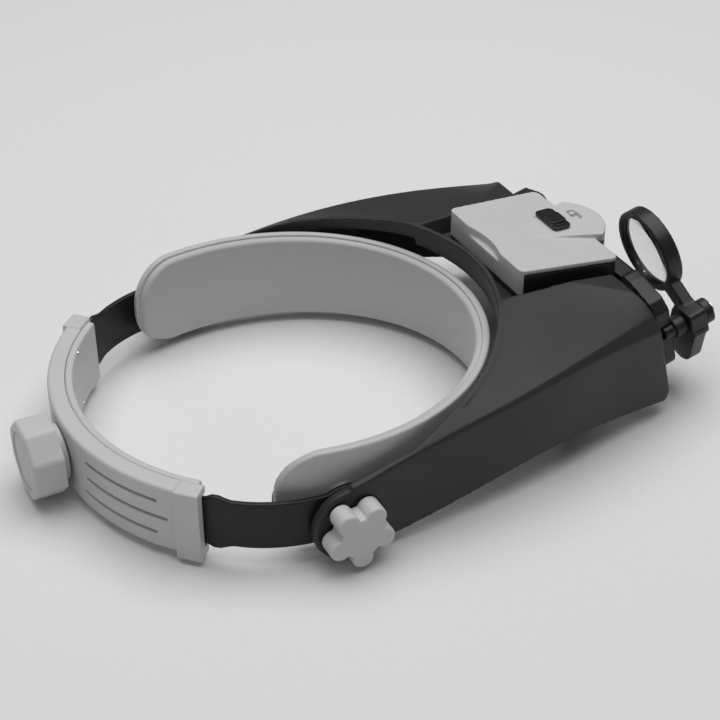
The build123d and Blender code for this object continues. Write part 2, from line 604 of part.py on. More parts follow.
def seam_block(gap):
    """Everything above the seam between tray and lid, plus gap."""
    reach = 21.0
    rise = reach * (LAMP_Z_REAR - LAMP_Z_FRONT) / (LAMP_REAR - LAMP_FRONT)
    drop = LID_DROP - gap
    below = lamp_wedge(-reach, 0, LAMP_Z_REAR + rise - drop, LAMP_Z_FRONT - rise - drop)
    return lamp_wedge(1 - reach, LAMP_Z_FRONT - 30, 90, 90) - below


def lamp_outline(low):
    """Outside of tray and lid together, with round corners."""
    body = lamp_wedge(0, low, LAMP_Z_REAR, LAMP_Z_FRONT)
    return fillet(body.edges().filter_by(lambda e: abs((e @ 0).Z - (e @ 1).Z) > 5), LAMP_CORNER_R)


def lamp_port(radius):
    """Round way for the light through the front of the nose."""
    return rod_y(radius, NOSE_TIP_Y - 4, NOSE_TIP_Y + 3.5, 0, LED_Z)


def lamp_base():
    """Black tray that holds cells, board and reflector; its nose is open above and its rear wall is low."""
    body = lamp_outline(DECK_Z + 0.05)
    body -= lamp_wedge(LAMP_WALL, DECK_Z + TRAY_FLOOR, 70, 70)
    body -= slab(-NOSE_W + LID_T, NOSE_W - LID_T, LAMP_FRONT - 1, LAMP_FRONT + 3, NOSE_FLOOR_Z + 1.0, 70)
    nose = nose_block(0, NOSE_FLOOR_Z, NOSE_TOP_Z, LAMP_FRONT)
    body += nose - nose_block(LID_T, NOSE_FLOOR_Z + 1.0, 70, LAMP_FRONT + 1)
    body -= lamp_port(WINDOW_R + 0.05)
    for x, y in LAMP_SCREWS:
        body -= Pos(x, y, DECK_Z) * Cylinder(LAMP_SCREW_R, 12)
    body -= slab(-40, 40, LAMP_REAR - LAMP_WALL - LID_GAP, LAMP_REAR + 1, LID_SKIRT_Z - LID_GAP, 90)
    return body - seam_block(0)


def hump():
    """Raised wedge on the lid that widens into the nose."""
    plan = [
        (-HUMP_REAR_W, HUMP_REAR_Y), (HUMP_REAR_W, HUMP_REAR_Y),
        (NOSE_W, NOSE_SHOULDER_Y), (-NOSE_W, NOSE_SHOULDER_Y),
    ]
    low = LAMP_Z_FRONT - 2
    wedge = extrude(Plane.XY.offset(low) * make_face(Polyline(*plan, close=True)), NOSE_TOP_Z - low)
    return wedge + nose_block(0, NOSE_FLOOR_Z + 0.5, NOSE_TOP_Z, NOSE_SHOULDER_Y + 0.1)


def lamp_cover():
    """Light lid of the lamp unit: rear skirt, scooped rear edge, raised hump, switch slot and peg pocket."""
    outline = lamp_outline(DECK_Z)
    skirt = outline & slab(-40, 40, LAMP_REAR - LAMP_WALL, LAMP_REAR + 1, LID_SKIRT_Z, 90)
    body = outline + hump()
    hollow = lamp_wedge(LAMP_WALL, 0, LAMP_Z_REAR - LID_T, LAMP_Z_FRONT - LID_T)
    hollow += nose_block(LID_T, 0, NOSE_TOP_Z - LID_T, LAMP_FRONT - 1)
    body -= hollow
    body += slab(SWITCH_X - 5.5, SWITCH_X + 6.5, -153.5, -147.2, NOSE_TOP_Z - 3.3, NOSE_TOP_Z - 1)
    body = (body & seam_block(LID_GAP)) + skirt
    body -= slab(-40, 40, LAMP_REAR - 0.4, LAMP_REAR + 1, LID_SEAM_Z - 0.2, LID_SEAM_Z + 0.2)
    inner_y = LAMP_REAR - SCOOP_DEPTH
    body += slab(-16.5, 16.5, inner_y - 0.6, LAMP_REAR - 0.5, SCOOP_Z - 0.9, SCOOP_Z + 0.2)
    body += slab(-16.5, 16.5, inner_y - 1.2, inner_y + 1.0, SCOOP_Z - 0.2, LAMP_Z_REAR - 0.8)
    body -= Pos(0, inner_y + SCOOP_R, SCOOP_Z + 10) * Cylinder(SCOOP_R, 20)
    body -= lamp_port(WINDOW_R + 0.35)
    body -= slab(SWITCH_X - 4.6, SWITCH_X + 7.6, SWITCH_Y - 2.6, SWITCH_Y + 2.6, 38, 60)
    pocket_cut = Pos(SWITCH_X + 1, -150.3) * SlotOverall(9.0, 4.4)
    body -= extrude(Plane.XY.offset(NOSE_TOP_Z - 2.0) * pocket_cut, 6)
    return body + Pos(SWITCH_X + 3.2, -150.3, NOSE_TOP_Z - 1.1) * Cylinder(1.4, 1.9)


def switch_slider():
    """Two-step slider of the lamp switch."""
    z = SWITCH_Z
    top = slab(SWITCH_X - 9.2, SWITCH_X + 9.2, SWITCH_Y - 4.6, SWITCH_Y + 4.6, z, z + 1.3)
    top = fillet(top.edges().filter_by(Axis.Z), 2.4)
    step = slab(SWITCH_X - 6.0, SWITCH_X + 3.0, SWITCH_Y - 3.9, SWITCH_Y + 3.9, z + 1.2, z + 2.6)
    step = fillet(step.edges().filter_by(Axis.Z), 1.6)
    return top + step + slab(SWITCH_X - 4, SWITCH_X + 4, SWITCH_Y - 2.1, SWITCH_Y + 2.1, z - 3.6, z + 0.1)


def cells():
    """Two small round cells side by side, head to tail."""
    found = []
    for sign, y in zip((-1, 1), CELL_ROWS):
        can = rod_x(CELL_R, -CELL_L / 2 + 0.4, CELL_L / 2 - 0.8, y, CELL_Z)
        can = side(can + rod_x(1.9, CELL_L / 2 - 1.2, CELL_L / 2, y, CELL_Z), sign)
        found.append(can)
    return Compound(children=found)


def battery_contacts():
    """Spring plates at both ends of the cells."""
    plates = []
    for sign in (-1, 1):
        x0, x1 = sorted((sign * (CELL_L / 2 + 0.2), sign * (CELL_L / 2 + 0.8)))
        plates.append(slab(x0, x1, -123.0, -102.8, DECK_Z + TRAY_FLOOR, CELL_Z + 3))
    return Compound(children=plates)


def lamp_board():
    """Circuit board under switch and diode, on a strip that stands on the tray's floor."""
    board = slab(-14, 14, -150.9, -126.0, BOARD_Z, BOARD_Z + BOARD_T)
    return board + slab(-14, 14, -130.0, -128.0, DECK_Z + TRAY_FLOOR, BOARD_Z + 0.1)


def switch_body():
    """Slide switch on the board, under the slider."""
    low = BOARD_Z + BOARD_T
    return slab(SWITCH_X - 4.6, SWITCH_X + 4.6, SWITCH_Y - 2.4, SWITCH_Y + 2.4, low, SWITCH_Z - 3.9)


def reflector():
    """Cup in front of the lamp's diode, open towards the window."""
    length = 6.8
    at = Pos(0, NOSE_TIP_Y + 2.0 + length / 2, LED_Z) * Rot(90, 0, 0)
    return at * Cone(2.1, REFLECTOR_R, length) - at * Cone(LED_R + 0.05, REFLECTOR_R - 0.5, length + 0.02)


def lamp_diode():
    """Light-emitting diode behind the reflector."""
    return rod_y(LED_R, -152.2, -149.0, 0, LED_Z) + Pos(0, -152.2, LED_Z) * Sphere(LED_R)


def lamp_window():
    """Clear disc in front of the reflector."""
    return rod_y(WINDOW_R, NOSE_TIP_Y + 0.6, NOSE_TIP_Y + 1.8, 0, LED_Z)


def lamp_screws():
    """Four screws through the tray and the visor's deck; the front pair also holds the lens frame."""
    found = []
    floor = DECK_Z + TRAY_FLOOR
    for x, y in LAMP_SCREWS:
        head = Pos(x, y, floor + 0.65) * Cylinder(2.2, 1.3)
        head -= Pos(x, y, floor + 1.1) * Box(3.2, 0.6, 0.7)
        found.append(head + Pos(x, y, floor - 2.6) * Cylinder(LAMP_SCREW_R, 5.4))
    return Compound(children=found)


# ---- loupe ------------------------------------------------------------------------
def loupe_post():
    """Post on the lens frame that the loupe swings on, with a spigot through the frame."""
    start = FRAME_GAP + FRAME_DEPTH
    at = Pos(POST_U, POST_V)
    body = on_front(at * Circle(POST_R), start, HUB_NEAR - start - 0.3)
    body += on_front(at * Circle(3.2), HUB_NEAR - 0.5, HUB_FAR + 1.0 - HUB_NEAR)
    body += on_front(at * Circle(3.0), start - 5, 5.2)
    return body - on_front(at * Circle(1.2), HUB_FAR - 6, 8)


def post_cap():
    """Dark cap that keeps the loupe on its post."""
    at = Pos(POST_U, POST_V)
    body = on_front(at * Circle(5.8), HUB_FAR + 0.5, 4.0)
    return body - on_front(at * Circle(1.2), HUB_FAR, 6)


def post_screw():
    """Round-headed metal screw through the cap."""
    at = Pos(POST_U, POST_V)
    body = on_front(at * Circle(3.2), HUB_FAR + 4.5, 1.4) + on_front(at * Circle(1.2), HUB_FAR - 5.5, 10.2)
    return body - on_front(at * Rectangle(7, 0.9), HUB_FAR + 5.3, 2)


def loupe_arm():
    """Loupe ring, its neck, the square hub on the post and the finger paddle."""
    hub_at = Pos(POST_U, POST_V)
    ring_at = Pos(LOUPE_U, LOUPE_V)
    reach = math.hypot(LOUPE_U - POST_U, LOUPE_V - POST_V)
    turn = math.degrees(math.atan2(LOUPE_V - POST_V, LOUPE_U - POST_U))
    neck = hub_at * Rot(0, 0, turn) * Pos(reach / 2 - 4, 0) * Rectangle(reach - 8, 9.0)
    body = on_front(neck, LOUPE_NEAR, HUB_FAR - LOUPE_NEAR - 0.4)
    body += on_front(ring_at * Circle(LOUPE_R_OUT), LOUPE_NEAR, LOUPE_DEPTH)
    body += on_front(hub_at * RectangleRounded(13.5, 13.5, 2), HUB_NEAR, HUB_FAR - HUB_NEAR)
    half = PADDLE_W / 2
    paddle = Pos((PADDLE_REACH - half) / 2, 0) * Rectangle(PADDLE_REACH - half, PADDLE_W)
    paddle += Pos(PADDLE_REACH - half, 0) * Circle(half)
    body += on_front(hub_at * Rot(0, 0, PADDLE_TURN) * paddle, HUB_NEAR, 6.6)
    body -= on_front(hub_at * Circle(3.2 + BORE_CLEARANCE), 0, 60)
    body -= on_front(ring_at * Circle(LOUPE_R_LENS - 0.8), 0, 60)
    body -= on_front(ring_at * Circle(LOUPE_R_LENS + 0.5), LOUPE_NEAR + 1.6, 20)
    return body


def loupe_lens():
    """Round lens with a bulging front."""
    start = LOUPE_NEAR + 1.65
    disc = on_front(Pos(LOUPE_U, LOUPE_V) * Circle(LOUPE_R_LENS + 0.45), start, 2.4)
    dome_r = 95.0
    centre = front_plane(start + 4.0 - dome_r).from_local_coords(Vector(LOUPE_U, LOUPE_V, 0))
    dome = on_front(Pos(LOUPE_U, LOUPE_V) * Circle(LOUPE_R_LENS - 1.2), start + 2.0, 3) & (
        Location(centre) * Sphere(dome_r))
    return disc + dome


def loupe_ring():
    """Snap ring that holds the loupe's lens."""
    ring = Circle(LOUPE_R_LENS + 0.45) - Circle(LOUPE_R_LENS - 0.8)
    return on_front(Pos(LOUPE_U, LOUPE_V) * ring, LOUPE_NEAR + 4.1, 2.4)


# ---- nodes --------------------------------------------------------------------------
NODES = {
    "front_band": front_band,
    "forehead_pad": forehead_pad,
    "band_rivets": band_rivets,
    "rear_housing": rear_housing,
    "rear_cover": rear_cover,
    "cover_screws": cover_screws,
    "size_pinion": pinion,
    "shaft_clip": shaft_clip,
    "rear_knob": rear_knob,
    "rear_knob_cap": rear_knob_cap,
    "visor_shell": visor_shell,
    "lens_frame": lens_frame,
    "main_lens": main_lens,
    "flip_lens_frame": flip_lens_frame,
    "flip_lens": flip_lens,
    "lamp_base": lamp_base,
    "lamp_cover": lamp_cover,
    "switch_slider": switch_slider,
    "switch_body": switch_body,
    "cells": cells,
    "battery_contacts": battery_contacts,
    "lamp_board": lamp_board,
    "reflector": reflector,
    "lamp_diode": lamp_diode,
    "lamp_window": lamp_window,
    "lamp_screws": lamp_screws,
    "loupe_post": loupe_post,
    "post_cap": post_cap,
    "post_screw": post_screw,
    "loupe_arm": loupe_arm,
    "loupe_lens": loupe_lens,
    "loupe_ring": loupe_ring,
}
SIDED_NODES = {
    "strap": strap,
    "rack": rack,
    "pivot_stud": pivot_stud,
    "pivot_washer": pivot_washer,
    "side_knob": side_knob,
    "knob_insert": knob_insert,
}


def main():
    """Builds every node and writes it to parts/."""
    os.makedirs("parts", exist_ok=True)
    for name, build in NODES.items():
        export_step(build(), f"parts/{name}.step")
    for name, build in SIDED_NODES.items():
        for word, sign in (("left", 1), ("right", -1)):
            export_step(build(sign), f"parts/{name}_{word}.step")


if __name__ == "__main__":
    main()
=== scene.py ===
"""Head visor magnifier: meshes, finishes and studio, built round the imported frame.

Metres, +Z up. The wearer faces -Y and the wearer's right is -X, as in the frame.
"""
import logging
import math
from dataclasses import dataclass
from enum import Enum
from typing import Any, Iterable, Mapping, Sequence

import bmesh
import bpy
from mathutils import Matrix, Vector


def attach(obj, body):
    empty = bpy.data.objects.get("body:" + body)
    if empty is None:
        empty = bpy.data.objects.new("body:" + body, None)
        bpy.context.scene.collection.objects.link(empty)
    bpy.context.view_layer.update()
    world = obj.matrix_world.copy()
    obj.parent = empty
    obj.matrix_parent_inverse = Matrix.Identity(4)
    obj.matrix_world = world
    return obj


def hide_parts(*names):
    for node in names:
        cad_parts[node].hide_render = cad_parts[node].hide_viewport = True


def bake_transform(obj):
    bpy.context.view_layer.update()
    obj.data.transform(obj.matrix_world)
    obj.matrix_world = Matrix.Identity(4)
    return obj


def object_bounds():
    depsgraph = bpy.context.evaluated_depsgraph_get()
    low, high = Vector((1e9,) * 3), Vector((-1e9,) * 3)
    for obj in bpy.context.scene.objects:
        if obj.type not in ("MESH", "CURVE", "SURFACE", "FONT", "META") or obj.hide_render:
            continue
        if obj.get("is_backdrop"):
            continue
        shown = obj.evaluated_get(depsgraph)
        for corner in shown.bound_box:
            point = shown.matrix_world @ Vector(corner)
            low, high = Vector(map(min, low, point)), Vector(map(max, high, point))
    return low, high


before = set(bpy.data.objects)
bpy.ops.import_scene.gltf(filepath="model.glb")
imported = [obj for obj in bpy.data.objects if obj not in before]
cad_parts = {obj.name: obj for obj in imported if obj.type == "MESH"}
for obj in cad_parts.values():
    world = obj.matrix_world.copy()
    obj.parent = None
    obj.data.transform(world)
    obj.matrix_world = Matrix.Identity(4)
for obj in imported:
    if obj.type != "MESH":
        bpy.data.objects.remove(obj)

LOG = logging.getLogger("visor_magnifier")
MM = 0.001
WELD_DISTANCE = 1e-6
Point = tuple[float, float, float]


# ---------------------------------------------------------------------------
# Shader building blocks
# ---------------------------------------------------------------------------
class Signal:
    """A number socket that takes part in arithmetic; each expression adds its Math nodes."""

    def __init__(self, graph: "Graph", socket: Any) -> None:
        """Wraps a socket of one node tree."""
        self.graph = graph
        self.socket = socket

    def _math(self, operation: str, first: Any, second: Any) -> "Signal":
        """A Math node on two values."""
        return self.graph.node("ShaderNodeMath", {"operation": operation}, {0: first, 1: second})[0]

    def __add__(self, other: Any) -> "Signal":
        """Sum."""
        return self._math("ADD", self, other)

    __radd__ = __add__

    def __sub__(self, other: Any) -> "Signal":
        """Difference."""
        return self._math("SUBTRACT", self, other)

    def __rsub__(self, other: Any) -> "Signal":
        """Difference from a plain number."""
        return self._math("SUBTRACT", other, self)

    def __mul__(self, other: Any) -> "Signal":
        """Product."""
        return self._math("MULTIPLY", self, other)

    __rmul__ = __mul__

    def __abs__(self) -> "Signal":
        """Size without sign."""
        return self._math("ABSOLUTE", self, 0.0)

    def above(self, low: float, high: float) -> "Signal":
        """Smooth step from 0 at low to 1 at high."""
        settings = {"interpolation_type": "SMOOTHSTEP"}
        inputs = {"Value": self, 1: low, 2: high, 3: 0.0, 4: 1.0}
        return self.graph.node("ShaderNodeMapRange", settings, inputs)[0]


class Outputs:
    """The outputs of one node, as signals."""

    def __init__(self, graph: "Graph", node: Any) -> None:
        """Wraps a node."""
        self.graph = graph
        self.shader = node

    def __getitem__(self, key: int | str) -> Signal:
        """One output by place or name."""
        return Signal(self.graph, self.shader.outputs[key])


class Graph:
    """The node tree of one material."""

    def __init__(self, name: str) -> None:
        """Starts an empty material.

        Args:
            name: The material's name.
        """
        self.material = bpy.data.materials.new(name)
        self.material.use_nodes = True
        self.tree = self.material.node_tree
        self.tree.nodes.clear()

    def node(
        self,
        kind: str,
        settings: Mapping[str, Any] | None = None,
        inputs: Mapping[Any, Any] | None = None,
    ) -> Outputs:
        """Adds one node.

        Args:
            kind: Type of the node.
            settings: Attributes, set first.
            inputs: Values or signals by socket place or name.

        Returns:
            The node's outputs.
        """
        made = self.tree.nodes.new(kind)
        for key, value in (settings or {}).items():
            setattr(made, key, value)
        for key, value in (inputs or {}).items():
            socket = made.inputs[key]
            if isinstance(value, Signal):
                self.tree.links.new(value.socket, socket)
            else:
                socket.default_value = value
        return Outputs(self, made)

    def place(self) -> Signal:
        """Coordinates in the object's own frame, in metres."""
        return self.node("ShaderNodeTexCoord")["Object"]

    def stretched(self, scale: Point) -> Signal:
        """The object coordinates with each axis scaled."""
        return self.node("ShaderNodeMapping", None, {"Vector": self.place(), "Scale": scale})[0]

    def noise(self, size: float, detail: float = 2.0, where: Signal | None = None) -> Signal:
        """Noise whose blobs are about size metres wide."""
        vector = where or self.place()
        inputs = {"Vector": vector, "Scale": 1.0 / size, "Detail": detail, "Roughness": 0.55}
        return self.node("ShaderNodeTexNoise", None, inputs)[0]

    def cells(self, size: float) -> Signal:
        """Distance to the nearest cell centre of a pattern size metres wide."""
        inputs = {"Vector": self.place(), "Scale": 1.0 / size}
        return self.node("ShaderNodeTexVoronoi", None, inputs)["Distance"]

    def axis(self, letter: str) -> Signal:
        """One coordinate, in metres."""
        return self.node("ShaderNodeSeparateXYZ", None, {0: self.place()})[letter]

    def edge(self) -> Signal:
        """1 on worn outer edges, 0 on faces."""
        flat, worn = 0.53, 0.60
        return self.node("ShaderNodeNewGeometry")["Pointiness"].above(flat, worn)

    def mix(self, factor: Any, first: Any, second: Any) -> Signal:
        """A colour between two colours."""
        made = self.node("ShaderNodeMix", {"data_type": "RGBA"})
        sockets = made.shader.inputs
        for socket, value in ((sockets[0], factor), (sockets[6], first), (sockets[7], second)):
            if isinstance(value, Signal):
                self.tree.links.new(value.socket, socket)
            else:
                socket.default_value = value if isinstance(value, float) else (*value, 1.0)[:4]
        return made[2]

    def bump(self, height: Signal, strength: float, distance: float) -> Signal:
        """A normal from a height."""
        inputs = {"Height": height, "Strength": strength, "Distance": distance}
        return self.node("ShaderNodeBump", None, inputs)["Normal"]

    def finish(self, **inputs: Any) -> Any:
        """Closes the material with one Principled shader.

        Args:
            **inputs: Socket names with underscores for spaces, and their values or signals.

        Returns:
            The material.
        """
        named = {key.replace("_", " "): value for key, value in inputs.items()}
        surface = self.node("ShaderNodeBsdfPrincipled", None, named)
        self.node("ShaderNodeOutputMaterial", None, {"Surface": surface["BSDF"]})
        return self.material


# ---------------------------------------------------------------------------
# Finishes
# ---------------------------------------------------------------------------
def shade(colour: Sequence[float], factor: float) -> tuple[float, float, float]:
    """A colour made lighter or darker."""
    return tuple(min(1.0, part * factor) for part in colour)


@dataclass(frozen=True)
class MouldedPlastic:
    """Injection-moulded plastic with a spark-eroded grain, faint flow mottling and rubbed edges."""

    name: str
    colour: tuple[float, float, float]
    roughness: float = 0.45
    grain_size: float = 0.00035
    grain_depth: float = 0.25
    mottle: float = 0.05
    rub: float = 0.25
    gloss: float = 0.5

    def make(self) -> Any:
        """Builds the material."""
        graph = Graph(self.name)
        flow = graph.noise(0.022, 3.0)
        speck = graph.noise(0.0018, 3.0)
        rubbed = graph.edge() * (graph.noise(0.006, 4.0).above(0.35, 0.65)) * self.rub
        plain = graph.mix(flow, shade(self.colour, 1 - self.mottle), shade(self.colour, 1 + self.mottle))
        body = graph.mix(rubbed, plain, shade(self.colour, 1.6))
        handled = graph.noise(0.035, 2.0).above(0.35, 0.7)
        rough = self.roughness + (speck - 0.5) * 0.10 - handled * 0.06
        grain = graph.noise(self.grain_size, 2.0) + graph.cells(self.grain_size * 1.7) * 0.6
        normal = graph.bump(grain, self.grain_depth, 0.00006)
        return graph.finish(
            Base_Color=body, Roughness=rough, Normal=normal, Specular_IOR_Level=self.gloss, IOR=1.5
        )


@dataclass(frozen=True)
class FoamSkin:
    """Closed-cell foam with a soft moulded skin: fine pores with painted shade in them, slight sheen and
    long soft dimples.
    """

    name: str
    colour: tuple[float, float, float]
    pore: float = 0.0006

    def make(self) -> Any:
        """Builds the material."""
        graph = Graph(self.name)
        cloud = graph.noise(0.028, 3.0)
        pores = graph.cells(self.pore).above(0.05, 0.45)
        colour = graph.mix(cloud, shade(self.colour, 0.94), shade(self.colour, 1.05))
        # Painted shade: the pore centres, which the bump sinks, are painted darker in colour to stand in
        # for the shade inside the pores.
        tint = graph.mix((1.0 - pores) * 0.35, colour, shade(self.colour, 0.72))
        height = pores * 0.7 + graph.noise(0.0035, 2.0) * 0.8
        normal = graph.bump(height, 0.30, 0.00010)
        rough = 0.66 + graph.noise(0.006, 3.0) * 0.14
        return graph.finish(
            Base_Color=tint, Roughness=rough, Normal=normal, Sheen_Weight=0.15, Sheen_Roughness=0.5
        )


@dataclass(frozen=True)
class TurnedMetal:
    """Machined metal with fine tool marks along one axis and small stains."""

    name: str
    colour: tuple[float, float, float]
    roughness: float = 0.28
    streaks: Point = (1.0, 25.0, 25.0)

    def make(self) -> Any:
        """Builds the material."""
        graph = Graph(self.name)
        lines = graph.noise(0.003, 4.0, graph.stretched(self.streaks))
        stain = graph.noise(0.004, 4.0).above(0.45, 0.75)
        colour = graph.mix(stain * 0.35, self.colour, shade(self.colour, 0.72))
        rough = self.roughness + (lines - 0.5) * 0.18 + stain * 0.12
        normal = graph.bump(lines, 0.12, 0.00004)
        return graph.finish(Base_Color=colour, Metallic=1.0, Roughness=rough, Normal=normal)


@dataclass(frozen=True)
class OpticalPlastic:
    """Clear polished lens with a breath of dust and finger haze."""

    name: str
    tint: tuple[float, float, float] = (0.97, 0.98, 0.985)
    index: float = 1.49

    def make(self) -> Any:
        """Builds the material."""
        graph = Graph(self.name)
        haze = graph.noise(0.009, 4.0).above(0.55, 0.85)
        dust = graph.cells(0.0022).above(0.10, 0.05)
        rough = 0.012 + haze * 0.05 + dust * 0.06
        tint = graph.mix(haze * 0.25, self.tint, shade(self.tint, 0.95))
        return graph.finish(Base_Color=tint, Roughness=rough, Transmission_Weight=1.0, IOR=self.index)


@dataclass(frozen=True)
class CellSleeve:
    """Plain shrink sleeve of a small cell: dark body, pale band at one end and bare metal caps."""

    name: str
    colour: tuple[float, float, float] = (0.05, 0.07, 0.09)
    band: tuple[float, float, float] = (0.55, 0.42, 0.20)

    def make(self) -> Any:
        """Builds the material."""
        graph = Graph(self.name)
        along = abs(graph.axis("X"))
        end = along.above(0.0208, 0.0212)
        strip = graph.axis("X").above(0.0100, 0.0102)
        sleeve = graph.mix(strip, self.colour, self.band)
        colour = graph.mix(end, sleeve, (0.62, 0.62, 0.63))
        crease = graph.noise(0.0012, 3.0)
        rough = 0.30 + crease * 0.12
        normal = graph.bump(crease, 0.10, 0.00005)
        return graph.finish(Base_Color=colour, Metallic=end, Roughness=rough, Normal=normal)


@dataclass(frozen=True)
class SolderMask:
    """Green circuit board: darker laminate under slightly raised copper tracks."""

    name: str
    colour: tuple[float, float, float] = (0.02, 0.14, 0.06)

    def make(self) -> Any:
        """Builds the material."""
        graph = Graph(self.name)
        settings = {"wave_type": "BANDS", "bands_direction": "X"}
        inputs = {"Vector": graph.place(), "Scale": 160.0, "Distortion": 3.0}
        tracks = graph.node("ShaderNodeTexWave", settings, inputs)[1]
        copper = tracks.above(0.55, 0.62)
        colour = graph.mix(copper, self.colour, shade(self.colour, 2.2))
        rough = 0.34 + graph.noise(0.002, 2.0) * 0.12
        return graph.finish(Base_Color=colour, Roughness=rough, Normal=graph.bump(copper, 0.25, 0.00005))


@dataclass(frozen=True)
class DiodeEpoxy:
    """Pale epoxy of the lamp's diode with a yellow phosphor core."""

    name: str

    def make(self) -> Any:
        """Builds the material."""
        graph = Graph(self.name)
        core = graph.noise(0.0012, 2.0)
        colour = graph.mix(core, (0.92, 0.90, 0.80), (0.90, 0.78, 0.35))
        rough = 0.18 + core * 0.05
        return graph.finish(Base_Color=colour, Roughness=rough, Coat_Weight=0.4, Coat_Roughness=0.08)


@dataclass(frozen=True)
class StudioPaper:
    """Pale background paper with a hint of fibre."""

    name: str = "studio_paper"

    def make(self) -> Any:
        """Builds the material."""
        graph = Graph(self.name)
        fibre = graph.noise(0.004, 4.0)
        colour = graph.mix(fibre, (0.80, 0.80, 0.80), (0.83, 0.83, 0.83))
        return graph.finish(Base_Color=colour, Roughness=0.95, Specular_IOR_Level=0.1)


LIGHT_GREY = (0.585, 0.585, 0.592)
BAND_GREY = shade(LIGHT_GREY, 0.93)
VISOR_GREY = (0.030, 0.030, 0.032)
BLACK_GREY = (0.015, 0.015, 0.016)
STRAP_GREY = (0.013, 0.013, 0.014)


class Finish(Enum):
    """Every finish on the object, by the record's material slot."""

    VISOR = MouldedPlastic("visor_plastic", VISOR_GREY, 0.48, grain_depth=0.32, rub=0.30, gloss=0.32)
    BLACK = MouldedPlastic("black_plastic", BLACK_GREY, 0.40, grain_depth=0.20, rub=0.25, gloss=0.42)
    STRAP = MouldedPlastic("strap_plastic", STRAP_GREY, 0.42, grain_depth=0.16, rub=0.20, gloss=0.32)
    LIGHT = MouldedPlastic("light_plastic", LIGHT_GREY, 0.50, grain_depth=0.26, mottle=0.02, rub=0.10)
    BAND = MouldedPlastic("band_plastic", BAND_GREY, 0.50, grain_depth=0.26, mottle=0.02, rub=0.10)
    LINING = FoamSkin("pad_lining", shade(LIGHT_GREY, 0.92))
    LENS = OpticalPlastic("clear_lens")
    STEEL = TurnedMetal("steel", (0.62, 0.62, 0.63))
    BRASS = TurnedMetal("brass", (0.74, 0.56, 0.30), 0.30)
    CELL = CellSleeve("cell_can")
    BOARD = SolderMask("board")
    CHROME = TurnedMetal("reflector_chrome", (0.93, 0.93, 0.94), 0.06, (1.0, 1.0, 1.0))
    DIODE = DiodeEpoxy("diode")
    NYLON = MouldedPlastic("washer", (0.72, 0.70, 0.66), 0.38, grain_depth=0.10, mottle=0.04, rub=0.0)
    SWITCH = MouldedPlastic("switch_black", (0.012, 0.012, 0.013), 0.28, grain_depth=0.08, rub=0.20)

    @property
    def slot(self) -> str:
        """The record's slot name."""
        return self.value.name


class Paintbox:
    """Makes each finish once and puts it on pieces."""

    def __init__(self) -> None:
        """Starts with nothing mixed."""
        self._made: dict[Finish, Any] = {}

    def material(self, finish: Finish) -> Any:
        """The material of a finish."""
        if finish not in self._made:
            self._made[finish] = finish.value.make()
        return self._made[finish]

    def dress(self, obj: Any, finish: Finish) -> None:
        """Gives a new piece one finish.

        Args:
            obj: A piece made here.
            finish: Its finish.
        """
        obj.data.materials.clear()
        obj.data.materials.append(self.material(finish))

    def dress_nodes(self, finish: Finish, *names: str) -> None:
        """Gives carried-over nodes one finish, through their objects' material slots."""
        for name in names:
            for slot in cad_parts[name].material_slots:
                slot.link = "OBJECT"
                slot.material = self.material(finish)


# ---------------------------------------------------------------------------
# Mesh building blocks
# ---------------------------------------------------------------------------
@dataclass(frozen=True)
class Softening:
    """How a hard-edged solid is turned into a moulded one.

    Attributes:
        voxel: Size of the even mesh that replaces the solid's faces, in metres.
        rounds: Smoothing rounds, which set the radius of the edges.
        keep: Share of faces kept afterwards.
    """

    voxel: float
    rounds: int = 4
    keep: float = 0.4


